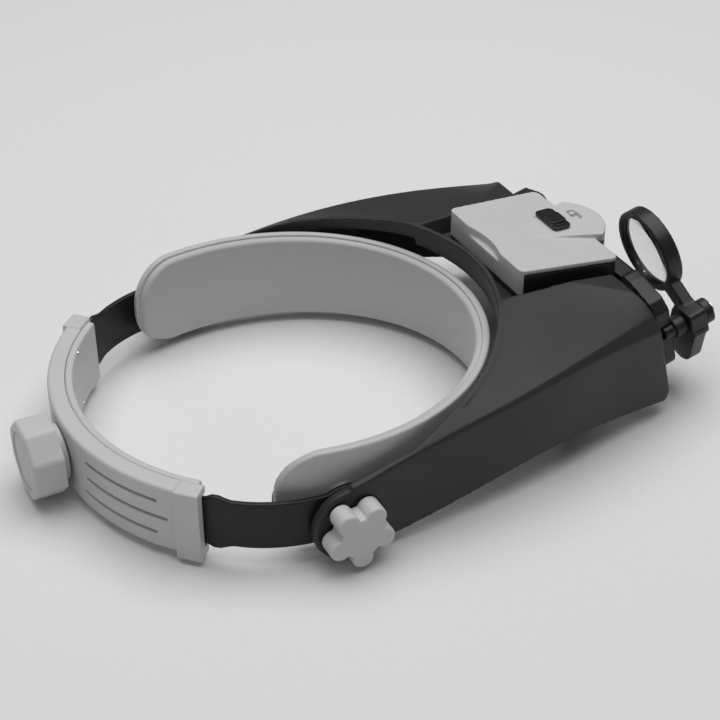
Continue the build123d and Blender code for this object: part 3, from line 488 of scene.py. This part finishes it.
class Bench:
    """Makes meshes and puts them on their bodies."""

    def __init__(self, paint: Paintbox) -> None:
        """Keeps the finishes and the list of pieces.

        Args:
            paint: Finishes for the pieces.
        """
        self.paint = paint
        self.pieces: list[Any] = []

    @staticmethod
    def place(name: str, mesh: Any) -> Any:
        """Puts a mesh into the scene as an object with smooth faces."""
        for polygon in mesh.polygons:
            polygon.use_smooth = True
        obj = bpy.data.objects.new(name, mesh)
        bpy.context.scene.collection.objects.link(obj)
        return obj

    @staticmethod
    def modify(obj: Any, kind: str, **settings: Any) -> None:
        """Adds one modifier."""
        made = obj.modifiers.new(kind.lower(), kind)
        for key, value in settings.items():
            setattr(made, key, value)

    @staticmethod
    def settle(obj: Any) -> Any:
        """Turns an object's modifiers into its mesh."""
        graph = bpy.context.evaluated_depsgraph_get()
        mesh = bpy.data.meshes.new_from_object(obj.evaluated_get(graph))
        obj.modifiers.clear()
        obj.data = mesh
        for polygon in mesh.polygons:
            polygon.use_smooth = True
        return obj

    def moulded(self, node: str, body: str, finish: Finish, how: Softening) -> Any:
        """A moulded piece on a node's solid, with rounded edges and corners.

        Args:
            node: The node that it stands for.
            body: The body that it rides on.
            finish: Its finish.
            how: Mesh size and edge rounding.

        Returns:
            The piece.
        """
        obj = self.place(f"{node}_moulding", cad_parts[node].data.copy())
        voxel = how.voxel * 1.0
        self.modify(obj, "WELD", merge_threshold=WELD_DISTANCE)
        self.modify(obj, "REMESH", mode="VOXEL", voxel_size=voxel, use_smooth_shade=True)
        self.modify(obj, "SMOOTH", factor=0.5, iterations=how.rounds)
        self.modify(obj, "DECIMATE", ratio=how.keep)
        self.settle(obj)
        return self.done(obj, body, finish, node)

    def done(self, obj: Any, body: str, finish: Finish, *nodes: str) -> Any:
        """Dresses a finished piece, mounts it and hides the nodes that it stands for."""
        self.paint.dress(obj, finish)
        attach(obj, body)
        if nodes:
            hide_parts(*nodes)
        self.report(obj)
        return obj

    def report(self, obj: Any) -> None:
        """Logs a piece."""
        self.pieces.append(obj)
        LOG.info("%s: %d faces", obj.name, len(obj.data.polygons))

    @staticmethod
    def grid_mesh(name: str, rows: Sequence[Sequence[Point]], wrap: bool, caps: bool = False) -> Any:
        """A mesh through rows of points.

        Args:
            name: Name of the mesh.
            rows: Rows of points, all of one length.
            wrap: True joins each row's last point to its first.
            caps: True closes the first and last rows.

        Returns:
            The mesh.
        """
        work = bmesh.new()
        grid = [[work.verts.new(p) for p in row] for row in rows]
        count = len(rows[0])
        span = count if wrap else count - 1
        for low, high in zip(grid, grid[1:]):
            for i in range(span):
                j = (i + 1) % count
                work.faces.new((low[i], low[j], high[j], high[i]))
        if caps:
            work.faces.new(grid[0])
            work.faces.new(list(reversed(grid[-1])))
        bmesh.ops.recalc_face_normals(work, faces=work.faces)
        mesh = bpy.data.meshes.new(name)
        work.to_mesh(mesh)
        work.free()
        return mesh


# ---------------------------------------------------------------------------
# Headband: moulded band, lining and the two straps
# ---------------------------------------------------------------------------
@dataclass
class Headband:
    """Front band with its soft lining, straps and fixings."""

    bench: Bench
    half_width: float = 87.5 * MM
    depth_top: float = 90.5 * MM
    depth_bottom: float = 97.0 * MM
    band_thickness: float = 3.4 * MM
    low: float = -16.5 * MM
    high: float = 28.0 * MM
    end_y: float = 38.5 * MM
    end_radius: float = 20.0 * MM
    lining_thickness: float = 3.2 * MM
    lining_edge: float = 1.2 * MM
    strap_x: float = 89.25 * MM
    strap_thickness: float = 2.5 * MM
    strap_half_height: float = 11.0 * MM
    strap_arc: float = 61.6 * MM
    rear_arc: float = 94.45 * MM
    pivot: tuple[float, float] = (13.0 * MM, -2.5 * MM)
    pivot_disc: float = 15.5 * MM
    flat_past_pivot: float = 5 * MM
    rear_end_angle: float = 38.0
    block_rise: float = 1.8 * MM
    block_y: float = 60.8 * MM
    block_half: float = 3.2 * MM

    def build(self) -> None:
        """Builds the headband."""
        self.bench.moulded("front_band", "headband", Finish.BAND, Softening(0.0006, 6, 0.3))
        self.lining()
        for side, word in ((1, "left"), (-1, "right")):
            self.strap(side, word)
        paint = self.bench.paint
        paint.dress_nodes(Finish.STEEL, "band_rivets", "pivot_stud_left", "pivot_stud_right")
        paint.dress_nodes(Finish.NYLON, "pivot_washer_left", "pivot_washer_right")

    def wall_point(self, angle: float, z: float, inset: float) -> Vector:
        """A point inside the band's outer wall.

        Args:
            angle: Radians from the front towards the wearer's left.
            z: Height.
            inset: Distance in from the outer wall.

        Returns:
            The point.
        """
        lean = (z - self.low) / (self.high - self.low)
        depth = self.depth_bottom + (self.depth_top - self.depth_bottom) * lean
        across, forward = (self.half_width - inset) * math.sin(angle), (depth - inset) * math.cos(angle)
        return Vector((across, -forward, z))

    def outline_distance(self, y: float, z: float) -> float:
        """Distance in from the lining's outline, seen from the side."""
        low, high = self.low + self.lining_edge, self.high - self.lining_edge
        end, radius = self.end_y - self.lining_edge, self.end_radius - self.lining_edge
        qy = y - (end - radius)
        qz = abs(z - (low + high) / 2) - ((high - low) / 2 - radius)
        if qy > 0 and qz > 0:
            return radius - math.hypot(qy, qz)
        return radius - max(qy, qz)

    def height_range(self, y: float) -> tuple[float, float]:
        """Lowest and highest z of the lining at a distance along the side."""
        low, high = self.low + self.lining_edge, self.high - self.lining_edge
        end, radius = self.end_y - self.lining_edge, self.end_radius - self.lining_edge
        past = min(max(y - (end - radius), 0.0), radius)
        cut = radius - math.sqrt(max(radius**2 - past**2, 0.0))
        return low + cut, high - cut

    def lining(self) -> None:
        """Crowned foam lining with a moulded welt along its edge."""
        columns, rows = 220, 40
        last = math.acos(-(self.end_y - self.lining_edge) / (self.depth_top - self.band_thickness))
        front, back = [], []
        for i in range(columns + 1):
            share = i / columns
            angle = last * math.sin((2 * share - 1) * math.pi / 2)
            y = self.wall_point(angle, 0.005, self.band_thickness).y
            low, high = self.height_range(y)
            face, wall = [], []
            for j in range(rows + 1):
                z = (low + high) / 2 - (high - low) / 2 * math.cos(math.pi * j / rows)
                inner = self.band_thickness + self.crown(y, z)
                face.append(tuple(self.wall_point(angle, z, inner)))
                wall.append(tuple(self.wall_point(angle, z, self.band_thickness + 0.05 * MM)))
            front.append(face)
            back.append(wall)
        loops = [face + list(reversed(wall)) for face, wall in zip(front, back)]
        mesh = self.bench.grid_mesh("forehead_lining", loops, True, True)
        obj = self.bench.place("forehead_lining", mesh)
        self.bench.done(obj, "headband", Finish.LINING, "forehead_pad")

    def crown(self, y: float, z: float) -> float:
        """Thickness of the lining: round at the edge, a shallow welt line and a soft crown."""
        inward = max(self.outline_distance(y, z), 0.0)
        round_edge, thinnest = 1.6 * MM, 0.12 * MM
        welt_depth, welt_at, welt_width = 0.16 * MM, 3.4 * MM, 0.45 * MM
        crown_rise, crown_reach = 0.35 * MM, 12 * MM
        edge = math.sqrt(max(0.0, 1 - (1 - min(inward / round_edge, 1.0)) ** 2))
        welt = welt_depth * math.exp(-(((inward - welt_at) / welt_width) ** 2))
        fill = crown_rise * min(inward / crown_reach, 1.0)
        return max((self.lining_thickness - crown_rise) * edge - welt + fill, thinnest)

    def strap_path(self) -> list[tuple[Vector, Vector]]:
        """Centre line of the left strap from front to rear, with outward normals."""
        flat_steps, side_steps, rear_steps = 18, 24, 12
        centre_x = self.strap_x - self.strap_arc
        corner = self.pivot[0] + self.flat_past_pivot
        tangent = math.atan2(centre_x, corner)
        path = []
        front = self.pivot[0] - self.pivot_disc
        for i in range(flat_steps + 1):
            y = front + (corner - front) * i / flat_steps
            path.append((Vector((self.strap_x, y, 0)), Vector((1, 0, 0))))
        for i in range(1, side_steps + 1):
            turn = math.pi / 2 - (math.pi / 2 - tangent) * i / side_steps
            normal = Vector((math.sin(turn), math.cos(turn), 0))
            path.append((Vector((centre_x, corner, 0)) + normal * self.strap_arc, normal))
        rear_end = math.radians(self.rear_end_angle)
        for i in range(1, rear_steps + 1):
            turn = tangent + (rear_end - tangent) * i / rear_steps
            normal = Vector((math.sin(turn), math.cos(turn), 0))
            path.append((normal * self.rear_arc, normal))
        return path

    def strap_half(self, y: float) -> tuple[float, float]:
        """Lowest and highest z of the strap at y: disc at the pivot, plain strap, stop block."""
        away = y - self.pivot[0]
        disc = math.sqrt(max(self.pivot_disc**2 - away**2, 0.0))
        low, high = self.pivot[1] - disc, self.pivot[1] + disc
        if away >= 0:
            low, high = min(low, -self.strap_half_height), max(high, self.strap_half_height)
        block = self.block_rise * (1 - min(abs(y - self.block_y) / self.block_half, 1.0) ** 6)
        return low - block, high + block

    def strap(self, side: int, word: str) -> None:
        """One flexible strap; it stretches between the band and the rear adjuster."""
        round_edge, steps = 0.7 * MM, 5
        half_thick = self.strap_thickness / 2
        loops = []
        for centre, normal in self.strap_path():
            low, high = self.strap_half(centre.y)
            ring = []
            for sx, sz in ((1, 1), (-1, 1), (-1, -1), (1, -1)):
                edge = min(round_edge, (high - low) / 2 - 1e-5) if high - low > 2e-4 else 1e-5
                start = {(1, 1): 0, (-1, 1): 90, (-1, -1): 180, (1, -1): 270}[(sx, sz)]
                for k in range(steps + 1):
                    turn = math.radians(start + 90 * k / steps)
                    across = sx * (half_thick - edge) + edge * math.cos(turn)
                    up = (high - edge if sz > 0 else low + edge) + edge * math.sin(turn)
                    point = centre + normal * across
                    ring.append((side * point.x, point.y, up))
            loops.append(ring)
        mesh = self.bench.grid_mesh(f"strap_{word}", loops, True, True)
        obj = self.bench.place(f"side_strap_{word}", mesh)
        self.bench.paint.dress(obj, Finish.STRAP)
        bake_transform(obj)
        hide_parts(f"strap_{word}")
        self.bench.report(obj)


# ---------------------------------------------------------------------------
# Rear adjuster, clamp knobs
# ---------------------------------------------------------------------------
@dataclass
class RearAdjuster:
    """Curved housing at the back of the head with its size knob and racks."""

    bench: Bench

    def build(self) -> None:
        """Builds the adjuster."""
        mould = self.bench.moulded
        mould("rear_housing", "rear_adjuster", Finish.LIGHT, Softening(0.00036, 3, 0.22))
        mould("rear_cover", "rear_adjuster", Finish.LIGHT, Softening(0.0006, 3, 0.35))
        mould("rear_knob", "size_knob", Finish.LIGHT, Softening(0.00040, 5, 0.4))
        mould("rear_knob_cap", "size_knob", Finish.LIGHT, Softening(0.00025, 3, 0.4))
        paint = self.bench.paint
        paint.dress_nodes(Finish.STRAP, "rack_left", "rack_right")
        paint.dress_nodes(Finish.NYLON, "size_pinion")
        paint.dress_nodes(Finish.STEEL, "cover_screws", "shaft_clip")


@dataclass
class ClampKnobs:
    """Five-lobed knobs at both pivots."""

    bench: Bench

    def build(self) -> None:
        """Builds both knobs."""
        for word in ("left", "right"):
            softening = Softening(0.00038, 5, 0.4)
            self.bench.moulded(f"side_knob_{word}", f"{word}_clamp_knob", Finish.LIGHT, softening)
            self.bench.paint.dress_nodes(Finish.BRASS, f"knob_insert_{word}")


# ---------------------------------------------------------------------------
# Visor, lamp unit, loupe
# ---------------------------------------------------------------------------
@dataclass
class Visor:
    """Visor shell with its lens frame and both lens plates."""

    bench: Bench

    def build(self) -> None:
        """Builds the visor."""
        mould = self.bench.moulded
        mould("visor_shell", "visor", Finish.VISOR, Softening(0.00055, 7, 0.22))
        mould("lens_frame", "visor", Finish.BLACK, Softening(0.0005, 4, 0.3))
        mould("flip_lens_frame", "flip_visor_lens", Finish.BLACK, Softening(0.0005, 3, 0.4))
        self.bench.paint.dress_nodes(Finish.LENS, "main_lens", "flip_lens")


@dataclass
class LampUnit:
    """Tray with cells, board and reflector under a light lid with its switch."""

    bench: Bench

    def build(self) -> None:
        """Builds the lamp unit."""
        mould = self.bench.moulded
        mould("lamp_base", "visor", Finish.BLACK, Softening(0.00045, 3, 0.4))
        mould("lamp_cover", "lamp_lid", Finish.LIGHT, Softening(0.00036, 4, 0.35))
        mould("switch_slider", "lamp_switch", Finish.SWITCH, Softening(0.00022, 5, 0.5))
        paint = self.bench.paint
        paint.dress_nodes(Finish.CELL, "cells")
        paint.dress_nodes(Finish.STEEL, "battery_contacts", "lamp_screws")
        paint.dress_nodes(Finish.BOARD, "lamp_board")
        paint.dress_nodes(Finish.BLACK, "switch_body")
        paint.dress_nodes(Finish.CHROME, "reflector")
        paint.dress_nodes(Finish.DIODE, "lamp_diode")
        paint.dress_nodes(Finish.LENS, "lamp_window")


@dataclass
class Loupe:
    """Swing-out loupe on its post."""

    bench: Bench

    def build(self) -> None:
        """Builds the loupe."""
        mould = self.bench.moulded
        mould("loupe_arm", "loupe", Finish.BLACK, Softening(0.00040, 5, 0.35))
        mould("loupe_post", "visor", Finish.BLACK, Softening(0.00035, 3, 0.4))
        mould("post_cap", "visor", Finish.BLACK, Softening(0.00030, 5, 0.4))
        paint = self.bench.paint
        paint.dress_nodes(Finish.STEEL, "post_screw")
        paint.dress_nodes(Finish.BLACK, "loupe_ring")
        paint.dress_nodes(Finish.LENS, "loupe_lens")


# ---------------------------------------------------------------------------
# Studio
# ---------------------------------------------------------------------------
@dataclass
class Studio:
    """Pale floor, soft light and the camera."""

    paint: Paintbox
    camera_at: Point = (-0.5460, 0.2333, 0.4148)
    looks_along: Point = (0.7416, -0.3689, -0.5605)
    roll: float = -0.44
    lens: float = 82.69
    sensor: float = 36.0
    ambient: float = 0.10
    key_at: Point = (0.15, -0.15, 1.30)
    key_to: Point = (0.0, -0.03, 0.0)
    key_size: float = 1.6
    key_power: float = 19.0
    rear_at: Point = (-0.55, 0.95, 0.75)
    rear_size: float = 0.8
    rear_share: float = 0.04
    floor_half: float = 3.0
    floor_gap: float = 0.0005

    def build(self) -> None:
        """Builds floor, lights and camera."""
        self.floor()
        rear_power = self.key_power * self.rear_share
        self.light("overhead_softbox", self.key_at, self.key_to, self.key_size, self.key_power)
        self.light("rear_softbox", self.rear_at, (0.0, 0.0, 0.0), self.rear_size, rear_power)
        self.world()
        self.camera()

    def floor(self) -> None:
        """A flat sheet of pale paper just under the object."""
        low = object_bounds()[0][2] - self.floor_gap
        half = self.floor_half
        rows = [[(-half, y, low), (half, y, low)] for y in (-half, half)]
        obj = Bench.place("studio_floor", Bench.grid_mesh("studio_floor", rows, False))
        obj.data.materials.append(StudioPaper().make())
        obj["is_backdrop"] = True

    def light(self, name: str, at: Point, to: Point, size: float, power: float) -> None:
        """One square soft light, aimed at a point."""
        lamp = bpy.data.lights.new(name, "AREA")
        lamp.size, lamp.energy = size, power
        obj = bpy.data.objects.new(name, lamp)
        aim = (Vector(to) - Vector(at)).to_track_quat("-Z", "Y").to_matrix().to_4x4()
        obj.matrix_world = Matrix.Translation(at) @ aim
        bpy.context.scene.collection.objects.link(obj)

    def world(self) -> None:
        """Even white surroundings."""
        scene = bpy.context.scene
        scene.world = bpy.data.worlds.new("studio_room")
        scene.world.use_nodes = True
        background = scene.world.node_tree.nodes["Background"]
        background.inputs["Color"].default_value = (1.0, 1.0, 1.0, 1.0)
        background.inputs["Strength"].default_value = self.ambient
        scene.view_settings.view_transform = "Standard"

    def camera(self) -> None:
        """The camera, level apart from a slight roll."""
        data = bpy.data.cameras.new("camera")
        data.lens, data.sensor_width = self.lens, self.sensor
        obj = bpy.data.objects.new("camera", data)
        forward = Vector(self.looks_along).normalized()
        right = forward.cross(Vector((0, 0, 1))).normalized()
        up = right.cross(forward)
        turn = math.radians(self.roll)
        across = right * math.cos(turn) + up * math.sin(turn)
        above = up * math.cos(turn) - right * math.sin(turn)
        basis = Matrix((across, above, -forward)).transposed().to_4x4()
        obj.matrix_world = Matrix.Translation(self.camera_at) @ basis
        bpy.context.scene.collection.objects.link(obj)
        bpy.context.scene.camera = obj


def main() -> None:
    """Builds every sub-assembly in order."""
    logging.basicConfig(level=logging.INFO, format="%(name)s %(message)s")
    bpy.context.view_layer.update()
    paint = Paintbox()
    bench = Bench(paint)
    for assembly in (Headband, RearAdjuster, ClampKnobs, Visor, LampUnit, Loupe):
        assembly(bench).build()
    Studio(paint).build()
    LOG.info("%d pieces", len(bench.pieces))


if __name__ == "__main__":
    main()
